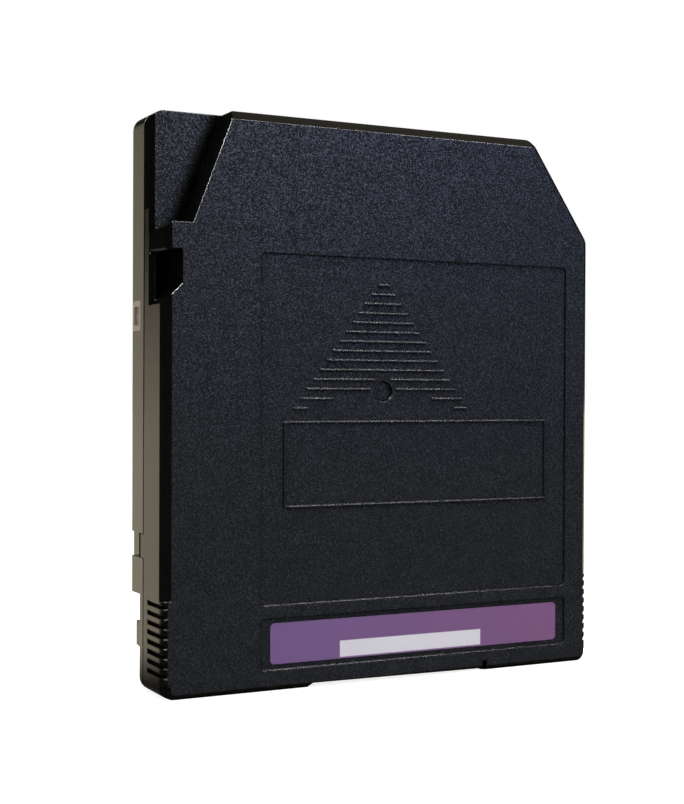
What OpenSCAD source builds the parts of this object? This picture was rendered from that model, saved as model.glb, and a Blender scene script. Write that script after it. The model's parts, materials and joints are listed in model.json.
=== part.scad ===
// Single-reel data tape cartridge for a half-inch enterprise tape drive.
// It stands on its label edge: X is the width, Y runs from the label face to the drive
// face, and Z runs from the label edge up to the edge that enters the drive.

/* [Case] */
// Width over both side walls
case_w = 109; // [107:0.5:113]
// Length from the label edge to the leading edge
case_h = 125; // [122:0.5:129]
// Thickness over both shells
case_t = 24.5; // [24:0.1:26]
// Depth of the front shell, from the label face to the parting line
front_depth = 11.64; // [11:0.02:13]
// Thickness of the side walls
wall = 2; // [1.6:0.1:2.4]
// Thickness of the two large faces
face_wall = 2; // [1.6:0.1:2.2]
// Bevel along the edges of the label face
edge_bevel = 2; // [1.6:0.1:2.6]
// The same bevel along the right side and the cut-off corner
far_bevel = 1.5; // [1.2:0.05:1.8]
// Bevel along the label edge and round the drive face
foot_bevel = 1.2; // [0.6:0.1:1.6]
// Rounding of the upright corners
corner_r = 3; // [2.6:0.1:4]
// Rounding of the corner beside the end of the label
foot_r = 2.4; // [1.2:0.1:3]
// Width of the cut-off leading corner
chamfer_w = 15.9; // [12:0.1:18]
// Height of the cut-off leading corner
chamfer_h = 23.3; // [20:0.1:26]
// Width and depth of the groove at the parting line
seam = 0.5; // [0.2:0.05:0.6]
// How far the drive face is set in from each side
step_w = 2.2; // [1.8:0.1:2.6]
// Height of that step, measured from the drive face
step_t = 5.15; // [4.5:0.05:6]

/* [Thin corner] */
// Depth of the thin corner below the label face
thin_depth = 8; // [7:0.1:8.6]
// Thickness of the floor of the thin corner
thin_floor = 2; // [1.4:0.1:2.2]
// Height of the thin corner, from the leading edge to the ledge
thin_h = 24.5; // [22:0.1:27]
// Width of the thin corner at the ledge
thin_w_foot = 6.7; // [6:0.1:8]
// Width of the thin corner at the leading edge
thin_w_top = 16.2; // [14:0.1:17]
// Lean of its side edge towards the inside
thin_lean = 0.35; // [0.1:0.05:0.6]
// Chamfer along its side edge
thin_edge = 1; // [0.5:0.05:1.4]

/* [Latch notch] */
// Height of the hook above the notch
hook_h = 6; // [5:0.1:8]
// Drop of the outer corner of the hook
hook_drop = 1.8; // [1:0.1:2.4]
// Lean of the hook's side, in degrees
hook_lean = 6; // [2:0.5:8]
// Chamfer under the hook
hook_lip = 0.45; // [0.2:0.05:0.6]
// Width of the notch across the label face
notch_w = 4.4; // [4.2:0.1:5]
// Height of the notch at the side wall
notch_h = 11.2; // [10:0.1:12]
// Thickness of the wall behind and beside the notch
notch_wall = 1.2; // [0.8:0.1:1.6]

/* [Face panels] */
// Depth of the shallow panels of the label face
panel_depth = 0.3; // [0.15:0.05:0.5]
// Side margins of the panels, measured from the left and the right side
panel_left = 22.3; // [21:0.1:24]
// Right margin of the panels
panel_right = 6.9; // [6:0.1:8]
// Lower edge of the large panel
panel_z0 = 18.7; // [18:0.1:20]
// Upper edge of the large panel
panel_z1 = 94.9; // [92:0.1:98]
// Lower edge of the label panel
strip_z0 = 4.7; // [4:0.1:5]
// Upper edge of the label panel
strip_z1 = 15.9; // [15.5:0.1:16.5]
// Margin of bare panel round the label
label_margin = 1.15; // [0.8:0.05:1.6]
// Width of bare panel beyond each end of the label
label_end = 2.5; // [1.5:0.1:4]
// Thickness of the label
label_t = 0.15; // [0.1:0.01:0.2]
// Width and height of the raised hairlines
rib_w = 0.42; // [0.3:0.02:0.6]
// Pitch of the arrow's hairlines
arrow_pitch = 2.12; // [2:0.02:2.2]
// Number of hairlines in the arrow
arrow_count = 14; // [12:1:16]
// Height of the arrow's tip above the reel axis
arrow_tip = 23.8; // [22:0.1:25]
// Half length of the first hairline
arrow_half = 1.4; // [1:0.1:2]
// Growth of the half length from one hairline to the next
arrow_grow = 1.6; // [1.4:0.02:1.7]
// Radius of the round field that stays free of hairlines
arrow_field_r = 48.3; // [46:0.1:50]
// Radius of the dimple over the reel axis
dimple_r = 2.35; // [1.8:0.05:3]
// Depth of the dimple
dimple_depth = 1; // [0.5:0.1:1.2]
// Width of the writing field
field_w = 68.2; // [60:0.1:72]
// Height of the writing field
field_h = 18.4; // [16:0.1:19]
// Gap from the reel axis down to the writing field
field_drop = 6.8; // [6:0.1:8]

/* [Grips] */
// Number of grooves in each grip
grip_count = 8; // [6:1:8]
// Pitch of the grooves
grip_pitch = 2.08; // [1.9:0.02:2.2]
// Height of the first groove
grip_z0 = 4.75; // [4.4:0.05:5]
// Depth of a groove
grip_depth = 0.65; // [0.4:0.05:0.9]
// Height of a groove at its mouth
grip_mouth = 1.1; // [0.8:0.05:1.3]
// Distance of a groove's end from the parting line
grip_end = 2.45; // [2:0.05:4]
// Height of the cut-back beside the grips
cutback_h = 20.9; // [20:0.1:22]
// Flush strip left between the parting line and the cut-back
cutback_lip = 2.5; // [1.5:0.05:3]
// Depth of the cut-back, from the side
cutback_depth = 5.5; // [4:0.1:6]
// Lower edge and height of the tab left standing in the cut-back
tab_z = 9; // [7:0.1:11]
// Height of that tab
tab_h = 5.8; // [4:0.1:7]

/* [Gripper pockets] */
// Lower edge of the gripper pocket
pocket_z = 28.9; // [28:0.1:31]
// Height of the gripper pocket
pocket_h = 5.3; // [4.6:0.1:6]
// Depth of the gripper pocket
pocket_depth = 3; // [2.4:0.1:3.2]
// Length of the front shell's tongue into the pocket
tongue_t = 1.95; // [1.4:0.05:2.6]
// Height of the small framed window
window_h = 4; // [3:0.1:5]
// Lower edge of the small framed window
window_z = 79.3; // [78:0.1:80]

/* [Foot] */
// Width of the shallow relief in the label edge
relief_w = 45.4; // [42:0.1:48]
// Distance of the relief from the left side
relief_left = 34.2; // [33:0.1:36]
// Depth of the relief at its left end
relief_depth = 1; // [0.6:0.05:1.1]

/* [Reel] */
// Distance of the reel axis left of the middle
axis_left = 2.1; // [1.6:0.1:2.4]
// Room between the label edge and the flanges
foot_room = 17.55; // [17:0.05:18]
// Room between the flanges and the leading edge
lead_room = 12.45; // [12:0.05:13]
// Thickness of a flange
flange_t = 1; // [0.8:0.05:1.1]
// Outer radius of the hub
hub_r = 22; // [21:0.1:23]
// Wall of the hub
hub_wall = 2.5; // [2:0.1:2.8]
// Thickness of the hub's web
web_t = 2; // [1.6:0.1:2.2]
// Width of the tape
tape_w = 12.65; // [12:0.05:12.7]
// Bare margin of the flanges outside the full pack of tape
pack_margin = 2; // [1.9:0.1:6]
// Number of teeth in each toothed ring
tooth_count = 36; // [24:12:36]
// Outer radius of the toothed rings
tooth_r = 17; // [16.6:0.1:17.2]
// Radial length of a tooth
tooth_len = 3.4; // [2.6:0.1:3.5]
// Height of the drive teeth
drive_tooth_h = 1.5; // [1.2:0.1:1.6]
// Height of the brake teeth
brake_tooth_h = 1.2; // [0.9:0.1:1.3]
// Outer radius of the steel drive plate
plate_r = 9.4; // [8:0.1:9.5]
// Thickness of the steel drive plate
plate_t = 1; // [0.7:0.1:1.2]
// Radius of the opening for the drive's spindle
opening_r = 18; // [17.8:0.1:19]

/* [Brake] */
// Radius of the brake button's guide boss
boss_r = 6.4; // [6:0.1:7]
// Length of that boss
boss_l = 7.8; // [7:0.1:8]
// Length of the arms of the guide cross
cross_l = 9; // [7:0.1:9.6]
// Thickness of the arms of the guide cross
cross_t = 2.4; // [1.8:0.1:2.8]
// Thickness of the release pad
pad_t = 1.6; // [1.2:0.1:1.8]
// Radius at which the pad's feet stand
foot_ring_r = 11.2; // [11:0.1:11.4]
// Radius of a foot of the pad
pad_foot_r = 1.2; // [0.9:0.05:1.3]
// Travel of the brake
brake_travel = 1.8; // [1.5:0.1:2]
// Mean radius of the brake spring
brake_coil_r = 9.2; // [8.6:0.1:10]
// Wire of the brake spring
brake_wire = 0.9; // [0.6:0.05:1.1]

/* [Door and pin] */
// Width of the tape port along the leading edge
port_w = 11; // [9:0.1:11.5]
// Distance of the port from the left side
port_left = 19; // [18:0.1:20]
// Thickness of the door
door_t = 1.2; // [0.9:0.1:1.5]
// Radius of the leader pin's shaft
pin_r = 1.3; // [1:0.05:1.5]
// Radius of the leader pin's heads
pin_head_r = 2.5; // [2.2:0.05:2.8]
// Thickness of the leader pin's heads
pin_head_t = 1.2; // [0.8:0.1:1.4]
// Length of the leader pin
pin_len = 16; // [15.6:0.1:16.2]
// Depth of the pin's axis below the leading edge
pin_drop = 8; // [7.4:0.1:9]
// Mean radius of the door spring
door_coil_r = 1.5; // [1.3:0.05:1.7]
// Wire of the door spring
door_wire = 0.4; // [0.3:0.02:0.45]
// Length of the fitted door spring
door_spring_l = 28; // [26:0.5:30]
// Thickness of the sheet of the pin spring
leaf_t = 0.3; // [0.2:0.02:0.4]
// Depth of the pin spring's root below the pin's axis
leaf_root = 8; // [7:0.1:9]

/* [Switch and memory] */
// Length of the write-protect switch
switch_l = 8; // [7:0.1:9]
// Width of the write-protect switch
switch_w = 6; // [5:0.1:6.4]
// Thickness of the write-protect switch
switch_t = 1.8; // [1.4:0.1:2]
// Width of the switch's knob
knob_w = 3; // [2.4:0.1:3.6]
// Travel of the switch
switch_travel = 4.5; // [3.5:0.1:5]
// Length of the memory board
board_l = 14; // [12:0.1:15]
// Width of the memory board
board_w = 12; // [10:0.1:13]
// Thickness of the memory board
board_t = 0.8; // [0.6:0.05:1]

/* [Screws and datum holes] */
// Radius of a screw's shank
screw_r = 1; // [0.8:0.05:1.2]
// Radius of a screw's head
head_r = 2; // [1.7:0.05:2.1]
// Height of a screw's head
head_h = 1.4; // [1.1:0.05:1.5]
// Length of a screw below its head
screw_l = 10; // [9:0.1:11]
// Wall round a screw
boss_wall = 2; // [1.6:0.1:2.2]
// Radius of the datum holes in the drive face
datum_r = 3; // [2.5:0.05:3.5]
// Depth of the datum holes
datum_depth = 4; // [3:0.1:5]

/* [Clearances] */
// Gap between parts that move past each other
gap = 0.3; // [0.2:0.02:0.35]
// Gap of a close sliding or seated fit
fit = 0.1; // [0.05:0.01:0.15]

/* [Hidden] */
$fn = 64;
shell_color = [0.10, 0.11, 0.13];
eps = 0.02;

// Planes of the case
side_x = case_w / 2;
label_y = -case_t / 2;
drive_y = case_t / 2;
part_y = label_y + front_depth;
front_in = label_y + face_wall;
back_in = drive_y - face_wall;
step_y = drive_y - step_t;
step_x = side_x - step_w;
step_in = step_x - wall * 0.75;
cutback_x = side_x - cutback_depth;
chamfer_a = atan2(chamfer_h, chamfer_w);
chamfer_c = sin(chamfer_a) * (side_x - chamfer_w) + cos(chamfer_a) * case_h;

// Thin corner, hook and notch
ledge_z = case_h - thin_h;
thin_y = label_y + thin_depth;
thin_in = thin_y + thin_floor;
lean_y = thin_y + thin_edge * 0.85;
slant_foot_x = -side_x + thin_w_foot;
slant_slope = (thin_w_top - thin_w_foot) / thin_h;
notch_z1 = ledge_z - hook_h;
notch_z0 = notch_z1 - notch_h;
notch_x = -side_x + notch_w;
well_y = (part_y + back_in) / 2;

// Reel stack, from the drive face inwards
flange_r = (case_h - foot_room - lead_room) / 2;
pack_r = flange_r - pack_margin;
axis_x = -axis_left;
axis_z = foot_room + flange_r;
reel_back = back_in - gap / 2 - drive_tooth_h;
web_in = reel_back - web_t;
slot_back = reel_back - flange_t;
slot_w = tape_w + gap;
slot_front = slot_back - slot_w;
reel_front = slot_front - flange_t;
tape_y = (slot_front + slot_back) / 2;
hub_bore_r = hub_r - hub_wall;
tooth_pitch = 2 * PI * (tooth_r - tooth_len) / tooth_count;
tooth_base = tooth_pitch * 0.77;
tooth_tip = tooth_base * 0.2;
ring_in_r = flange_r + 0.8;
ring_t = 1.2;

// Brake stack, from the web inwards
brake_tip = web_in - gap;
brake_base = brake_tip - brake_tooth_h;
pad_back = web_in - gap;
pad_front = pad_back - pad_t;
button_t = 1.2;
button_back = pad_front - 2 * gap;
button_front = button_back - button_t;
button_r = tooth_r + 0.4;
boss_front = button_front - boss_l;
cross_tip = button_front - brake_travel - gap;

// Door, port and pin
lead_in = case_h - wall;
port_x0 = -side_x + port_left;
port_x1 = port_x0 + port_w;
port_y0 = tape_y - pin_len / 2 - gap;
port_y1 = tape_y + pin_len / 2 + gap;
door_top = lead_in - gap * 0.7;
door_under = door_top - door_t;
door_lap = 0.7;
door_x0 = port_x0 - door_lap;
door_x1 = port_x1 + 1.5;
door_y0 = port_y0 - door_lap;
door_y1 = min(port_y1 + door_lap, back_in - gap);
door_travel = port_w + door_lap;
tail_w = 1.5;
coil_z = door_under - door_coil_r - door_wire / 2 - gap;
tail_z = coil_z - door_coil_r + fit;
coil_y = tape_y + 0.6;
stop_x = door_x1 + door_spring_l;
lug_x0 = port_x0 + gap;
lug_w = 1.3;
lug_l = 2.2;
lug_y0 = port_y1 - lug_l - 0.9;
pin_x = port_x0 + 4.5;
pin_z = case_h - pin_drop;
pin_y0 = tape_y - pin_len / 2;
pin_y1 = tape_y + pin_len / 2;
leaf_x = pin_x - 7.6;

// Leader, tangent to the pack and running to the pin
leader_t = 0.2;
leader_r = pack_r + gap + leader_t;
leader_d = norm([pin_x - axis_x, pin_z - axis_z]);
leader_a = atan2(pin_z - axis_z, pin_x - axis_x) + acos(leader_r / leader_d);
leader_l = sqrt(leader_d * leader_d - leader_r * leader_r);

// Switch, memory, screws and datum holes
switch_x0 = side_x - 42.5;
switch_y0 = label_y + 3.1;
switch_z0 = wall + 0.2;
knob_x0 = switch_x0 + (switch_l - knob_w) / 2;
knob_z0 = 0.7;
board_x = -side_x + 19;
board_z = wall + 8;
boss_r_out = screw_r + boss_wall;
boss_split_y = (part_y + back_in) / 2 - 1;
head_seat_y = drive_y - head_h - 0.9;
screw_spots = [[-side_x + 10.5, 8], [side_x - 10.5, 12], [side_x - 16.5, case_h - 19],
    [-side_x + 6.5, case_h - 12.5]];
datum_spots = [[-side_x + 22, 7], [side_x - 22, 7]];

// A flat outline in X and Z, made solid from one depth to another
module slab(y0, y1) {
    translate([0, y1, 0]) rotate([90, 0, 0]) linear_extrude(height = y1 - y0) children();
}

// A box between two corners
module block(a, b) {
    translate(a) cube(b - a);
}

// A ring about the reel axis
module ring(r_out, r_in, y0, y1) {
    translate([axis_x, y0, axis_z]) rotate([-90, 0, 0]) difference() {
        cylinder(r = r_out, h = y1 - y0);
        translate([0, 0, -1]) cylinder(r = r_in, h = y1 - y0 + 2);
    }
}

// A round bar along Y
module bar(x, z, r, y0, y1) {
    translate([x, y0, z]) rotate([-90, 0, 0]) cylinder(r = r, h = y1 - y0);
}

// Both sides of the cartridge
module both_sides() {
    children();
    mirror([1, 0, 0]) children();
}

// Corners of the outline, set in from the left side and the leading edge, from the
// label edge, and from the right side and the cut-off corner: each is [x, z, radius]
function corners(inset, foot, far) =
    let (rn = max(corner_r - inset, 0.2), r = max(corner_r - far, 0.2),
        rf = max(foot_r - far, 0.2), s = sin(chamfer_a), c = cos(chamfer_a),
        low_x = side_x - far - r, high_z = case_h - inset - r,
        low_z = (chamfer_c - far - r - s * low_x) / c,
        high_x = (chamfer_c - far - r - c * high_z) / s)
    [[-side_x + inset + rn, foot + rn, rn], [side_x - far - rf, foot + rf, rf],
        [low_x, low_z, r], [high_x, high_z, r],
        [-side_x + inset + rn, case_h - inset - rn, rn]];

// The closed outline at several depths, joined into one bevelled block;
// each layer is [depth, inset, inset of the label edge, inset of the far edges]
module bevelled_block(layers, h = eps) {
    hull() for (l = layers, c = corners(l[1], l[2], l[3]))
        translate([c[0], l[0], c[1]]) rotate([-90, 0, 0]) cylinder(r = c[2], h = h, $fn = 24);
}

// Everything beyond the cut-off leading corner, set in by the given amount
module beyond_chamfer(inset) {
    translate([side_x - chamfer_w, case_h]) rotate(-chamfer_a)
        translate([-case_h, -inset]) square([3 * case_h, case_h]);
}

// The room inside the side walls
module inside_walls(x_in) {
    difference() {
        translate([-x_in, wall]) square([2 * x_in, case_h - 2 * wall]);
        beyond_chamfer(wall);
    }
}

// The thin corner, with its slanted wall and its ledge moved out by the given amount
module thin_corner(grow) {
    shift = grow * sqrt(1 + slant_slope * slant_slope);
    z0 = ledge_z - grow;
    z1 = case_h + 10;
    polygon([[-side_x - 10, z0], [slant_foot_x + shift + slant_slope * (z0 - ledge_z), z0],
        [slant_foot_x + shift + slant_slope * (z1 - ledge_z), z1], [-side_x - 10, z1]]);
}

// The hook's outer corner, which falls away towards the side
module hook_corner() {
    polygon([[-side_x - 5, ledge_z + 1], [-side_x - 5, ledge_z - hook_drop],
        [-side_x, ledge_z - hook_drop], [-side_x + 1.22 * hook_drop, ledge_z],
        [-side_x + 1.22 * hook_drop, ledge_z + 1]]);
}

// The cutter of the chamfer under the hook, along X
module hook_edge(length) {
    a = hook_lip * sqrt(2);
    rotate([45, 0, 0]) translate([0, -a / 2, -a / 2]) cube([length, a, a]);
}

// The latch notch: a square pocket whose lower edge falls away at 45 degrees
module notch_outline() {
    polygon([[-side_x - 5, notch_z0 - 5], [notch_x, notch_z0 + notch_w], [notch_x, notch_z1],
        [-side_x - 5, notch_z1]]);
}

// A flat rectangle with rounded corners, between two corners
module rounded(x0, z0, x1, z1, r) {
    translate([x0 + r, z0]) square([x1 - x0 - 2 * r, z1 - z0]);
    translate([x0, z0 + r]) square([x1 - x0, z1 - z0 - 2 * r]);
    for (x = [x0 + r, x1 - r], z = [z0 + r, z1 - r]) translate([x, z]) circle(r);
}

// A hairline along X, as high as the panel is deep
module hairline(x0, x1, z) {
    block([x0, label_y + eps, z - rib_w / 2], [x1, label_y + panel_depth + eps, z + rib_w / 2]);
}

// The insertion arrow: hairlines that grow row by row and leave out the round field
// and a clear ring round the dimple
module insertion_arrow() {
    field_z = axis_z - arrow_field_r;
    clear_r = dimple_r + 0.85;
    for (i = [0 : arrow_count - 1]) {
        z = axis_z + arrow_tip - i * arrow_pitch;
        half = arrow_half + i * arrow_grow;
        in_ring = abs(z - axis_z) < clear_r ? sqrt(pow(clear_r, 2) - pow(z - axis_z, 2)) : 0;
        in_field = z < axis_z ? sqrt(pow(arrow_field_r, 2) - pow(z - field_z, 2)) : 0;
        free = max(in_ring, in_field);
        if (free == 0) hairline(axis_x - half, axis_x + half, z);
        else if (free < half) for (s = [-1, 1])
            hairline(axis_x + min(s * free, s * half), axis_x + max(s * free, s * half), z);
    }
}

// The writing field: a raised hairline frame
module writing_field() {
    z1 = axis_z - field_drop;
    z0 = z1 - field_h;
    x0 = -side_x + panel_left + 5.75;
    x1 = x0 + field_w;
    hairline(x0, x1, z0);
    hairline(x0, x1, z1);
    for (x = [x0, x1]) block([x - rib_w / 2, label_y + eps, z0],
        [x + rib_w / 2, label_y + panel_depth + eps, z1]);
}

// One grip: a rounded pad over the bevel
module grip_pad() {
    c = [-side_x + edge_bevel, label_y + edge_bevel];
    translate([0, 0, corner_r]) linear_extrude(height = cutback_h - corner_r)
        polygon(concat([c], [for (a = [180 : 10 : 270]) c + edge_bevel * [cos(a), sin(a)]]));
}

// The grooves of one grip: each has a flat floor and a slope above it, runs along the
// side and follows the rounded pad towards the label face
module grip_grooves() {
    r = edge_bevel;
    for (i = [0 : grip_count - 1]) translate([-side_x, 0, grip_z0 + i * grip_pitch]) {
        slab(label_y + r, part_y - grip_end)
            polygon([[-1, 0], [grip_depth, 0], [0, grip_mouth], [-1, grip_mouth + 1]]);
        translate([r, label_y + r, 0]) intersection() {
            rotate_extrude() polygon([[r - grip_depth, 0], [r + 1, 0], [r + 1, grip_mouth + 1],
                [r, grip_mouth]]);
            translate([0, 0, -1]) linear_extrude(height = grip_mouth + 3)
                polygon([[0, 0.3], [-3 * r, 0.3], [-3 * r, -3 * r], [-3 * r / tan(70), -3 * r]]);
        }
    }
}

// The round wall of the reel well, left open where the tape leaves
module well_wall(y0, y1) {
    difference() {
        ring(ring_in_r + ring_t, ring_in_r, y0, y1);
        block([-side_x, y0 - 1, axis_z + 13], [axis_x - 6, y1 + 1, case_h]);
        block([-side_x - 5, y0 - 1, 0], [-step_in, y1 + 1, case_h]);
    }
}

// A seat for one head of the leader pin, open towards the port
module pin_seat(y0, y1, floor_y0, floor_y1) {
    r = pin_head_r + fit;
    difference() {
        block([pin_x - r - 1.2, y0, pin_z - r - 1.2], [pin_x + r + 1.2, y1, pin_z + 0.5]);
        difference() {
            union() {
                bar(pin_x, pin_z, r, y0 - 1, y1 + 1);
                block([pin_x - r + 0.05, y0 - 1, pin_z], [pin_x + r - 0.05, y1 + 1, pin_z + 5]);
            }
            block([pin_x - 9, floor_y0, pin_z - 9], [pin_x + 9, floor_y1, pin_z + 9]);
        }
    }
}

// The guide cross that keeps the brake button from turning
module guide_cross(grow, y0, y1) {
    for (a = [0, 90]) translate([axis_x, 0, axis_z]) rotate([0, a, 0])
        block([-cross_l / 2 - grow, y0, -cross_t / 2 - grow],
            [cross_l / 2 + grow, y1, cross_t / 2 + grow]);
}

// A ring of straight-sided teeth about local Z, standing on the plane z = 0
module teeth(height, phase) {
    for (i = [0 : tooth_count - 1]) rotate((i + phase) * 360 / tooth_count)
        translate([tooth_r - tooth_len, 0, 0]) rotate([90, 0, 90])
            linear_extrude(height = tooth_len)
                polygon([[-tooth_base / 2, -0.2], [tooth_base / 2, -0.2], [tooth_base / 2, 0],
                    [tooth_tip / 2, height], [-tooth_tip / 2, height], [-tooth_base / 2, 0]]);
}

// Teeth about the reel axis that point along +Y (dir = 1) or -Y (dir = -1)
module axis_teeth(y, dir, height, phase) {
    translate([axis_x, y, axis_z]) rotate([-90 * dir, 0, 0]) teeth(height, phase);
}

// A coil spring along local Z, as one swept tube with closed ends
module coil(r, wire, length, turns, steps, sides) {
    count = turns * steps;
    climb = (length - wire) / count;
    rings = [for (i = [0 : count]) let (a = i * 360 / steps, z = wire / 2 + i * climb)
        [for (j = [0 : sides - 1]) let (b = j * 360 / sides, q = r + wire / 2 * cos(b))
            [q * cos(a), q * sin(a), z + wire / 2 * sin(b)]]];
    sides_of = [for (i = [0 : count - 1], j = [0 : sides - 1]) let (k = (j + 1) % sides)
        [i * sides + j, i * sides + k, (i + 1) * sides + k, (i + 1) * sides + j]];
    first = [for (j = [sides - 1 : -1 : 0]) j];
    last = [for (j = [0 : sides - 1]) count * sides + j];
    polyhedron(points = [for (ring_points = rings, p = ring_points) p],
        faces = concat([first], sides_of, [last]));
}

// A thin sheet strip between two points in X and Z
module strip(p, q, t, y0, y1) {
    translate([p[0], y0, p[1]]) rotate([0, -atan2(q[1] - p[1], q[0] - p[0]), 0])
        translate([0, 0, -t / 2]) cube([norm(q - p), y1 - y0, t]);
}

// Cuts for the tape port and for the way of the door's lug
module port_cut() {
    block([port_x0, port_y0, lead_in - 0.5], [port_x1, port_y1, case_h + 1]);
    block([port_x1 - 1, lug_y0 - gap, lead_in - 0.5],
        [lug_x0 + lug_w + door_travel + gap, lug_y0 + lug_l + gap, case_h + 1]);
}

// Label-side shell, with the thin corner, the hook, the panels and the grips
module front_shell() color(shell_color) {
    r_seat = pin_head_r + fit;
    difference() {
        union() {
            // Shell: bevelled block, hollowed, with the thin corner stepped down
            difference() {
                union() {
                    bevelled_block([[label_y, edge_bevel, foot_bevel, far_bevel],
                        [label_y + foot_bevel, edge_bevel - foot_bevel - eps, 0, far_bevel * 0.15],
                        [label_y + edge_bevel, 0, 0, 0], [part_y - eps, 0, 0, 0]]);
                    both_sides() grip_pad();
                }
                slab(front_in, part_y + 1) difference() {
                    inside_walls(side_x - wall);
                    thin_corner(wall);
                }
                slab(thin_in, part_y + 1) inside_walls(side_x - wall);
                slab(label_y - 1, thin_y) union() {
                    thin_corner(0);
                    hook_corner();
                }
                // The leaning side of the hook, and the chamfer along its lower edges
                translate([-side_x, lean_y, notch_z1 - 0.6]) rotate([0, 0, hook_lean - 90])
                    translate([0, -5, 0]) cube([lean_y - label_y + 1, 5, hook_h + 1.4]);
                translate([-side_x, lean_y, notch_z1]) rotate([0, 0, hook_lean - 90])
                    hook_edge(lean_y - label_y + 1);
                translate([-side_x - 1, label_y, notch_z1]) hook_edge(notch_w + 0.8);
                // The chamfered side edge, behind the notch and above the hook
                for (z = [[notch_z0, notch_z1], [ledge_z - hook_drop, case_h + 1]])
                    translate([-side_x, thin_y, z[0]]) rotate([0, 0, 45])
                        translate([-thin_edge / sqrt(2), -thin_edge / sqrt(2), 0])
                            cube([thin_edge * sqrt(2), thin_edge * sqrt(2), z[1] - z[0]]);
                // The leaning side edge of the thin corner
                translate([-side_x, part_y, ledge_z + 3.5])
                    rotate([0, 0, atan2(thin_lean, part_y - thin_y) - 90])
                        translate([0, -5, 0]) cube([thin_depth, 5, thin_h + 5]);
            }
            // Raised hairlines of the label face, and the tongues into the gripper pockets
            both_sides() block([-side_x, part_y - 3, pocket_z + fit],
                [-side_x + pocket_depth - fit, part_y + tongue_t, pocket_z + pocket_h - fit]);
            // Walls round the latch notch
            block([-side_x + wall / 2, front_in - 1, notch_z0 - notch_wall],
                [notch_x + notch_wall, part_y, notch_z1 + notch_wall]);
            // Reel well, brake post, screw bosses
            well_wall(front_in - 1, part_y - seam);
            guide_cross(0, front_in - 1, cross_tip);
            ring(brake_coil_r - brake_wire, brake_coil_r - brake_wire - 0.8,
                front_in - 1, front_in + 1.2);
            for (s = screw_spots) bar(s[0], s[1], boss_r_out,
                (s[0] < 0 && s[1] > ledge_z) ? thin_in - 1 : front_in - 1, boss_split_y);
            // Seat of the leader pin, slot of the pin spring, rail of the door
            pin_seat(front_in - 1, pin_y0 + pin_head_t - fit, front_in - 2, pin_y0 - fit);
            for (x = [leaf_x - leaf_t / 2 - fit - 1.2, leaf_x + leaf_t / 2 + fit])
                block([x, front_in - 1, pin_z - leaf_root],
                    [x + 1.2, pin_y0 + 4, pin_z - leaf_root / 2]);
            block([door_x0 - 0.4, front_in - 1, door_under - gap * 0.8 - 1],
                [stop_x - 2, door_y0 + 0.6, door_under - gap * 0.8]);
            // Rail that holds the switch down
            block([switch_x0 - 1, front_in - 1, switch_z0 + switch_t + gap],
                [switch_x0 + switch_l + switch_travel + 1, switch_y0 + 1, switch_z0 + switch_t + 1.3]);
        }
        // Panels, with the hairlines left standing
        difference() {
            slab(label_y - 1, label_y + panel_depth)
                rounded(-side_x + panel_left, panel_z0, side_x - panel_right, panel_z1, 1);
            insertion_arrow();
            writing_field();
        }
        slab(label_y - 1, label_y + panel_depth)
            rounded(-side_x + panel_left, strip_z0, side_x - panel_right, strip_z1, 1);
        bar(axis_x, axis_z, dimple_r, label_y - 1, label_y + dimple_depth);
        both_sides() grip_grooves();
        // Notch, and the well behind it
        slab(label_y - 1, thin_y) notch_outline();
        block([-side_x + notch_wall, thin_y - 1, notch_z0 + notch_wall],
            [notch_x, part_y + 1, notch_z1]);
        port_cut();
        for (s = screw_spots) bar(s[0], s[1], screw_r, head_seat_y - screw_l - 0.6, boss_split_y + 1);
        // Relief and small end notch in the label edge
        slab(label_y - 1, part_y + 1) polygon([[-side_x + relief_left, -1],
            [-side_x + relief_left, 0], [-side_x + relief_left + relief_depth, relief_depth],
            [-side_x + relief_left + relief_w - 0.8, relief_depth * 0.5],
            [-side_x + relief_left + relief_w, 0], [-side_x + relief_left + relief_w, -1]]);
        block([-side_x + relief_left + relief_w - 0.6, label_y - 1, -1],
            [-side_x + relief_left + relief_w + 0.6, label_y + wall - 0.4, wall + 0.4]);
        // Window of the write-protect switch
        block([knob_x0 - gap, switch_y0 + 0.8, -1],
            [knob_x0 + knob_w + switch_travel + gap, switch_y0 + switch_w - 0.8, wall + 0.1]);
    }
}

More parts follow.
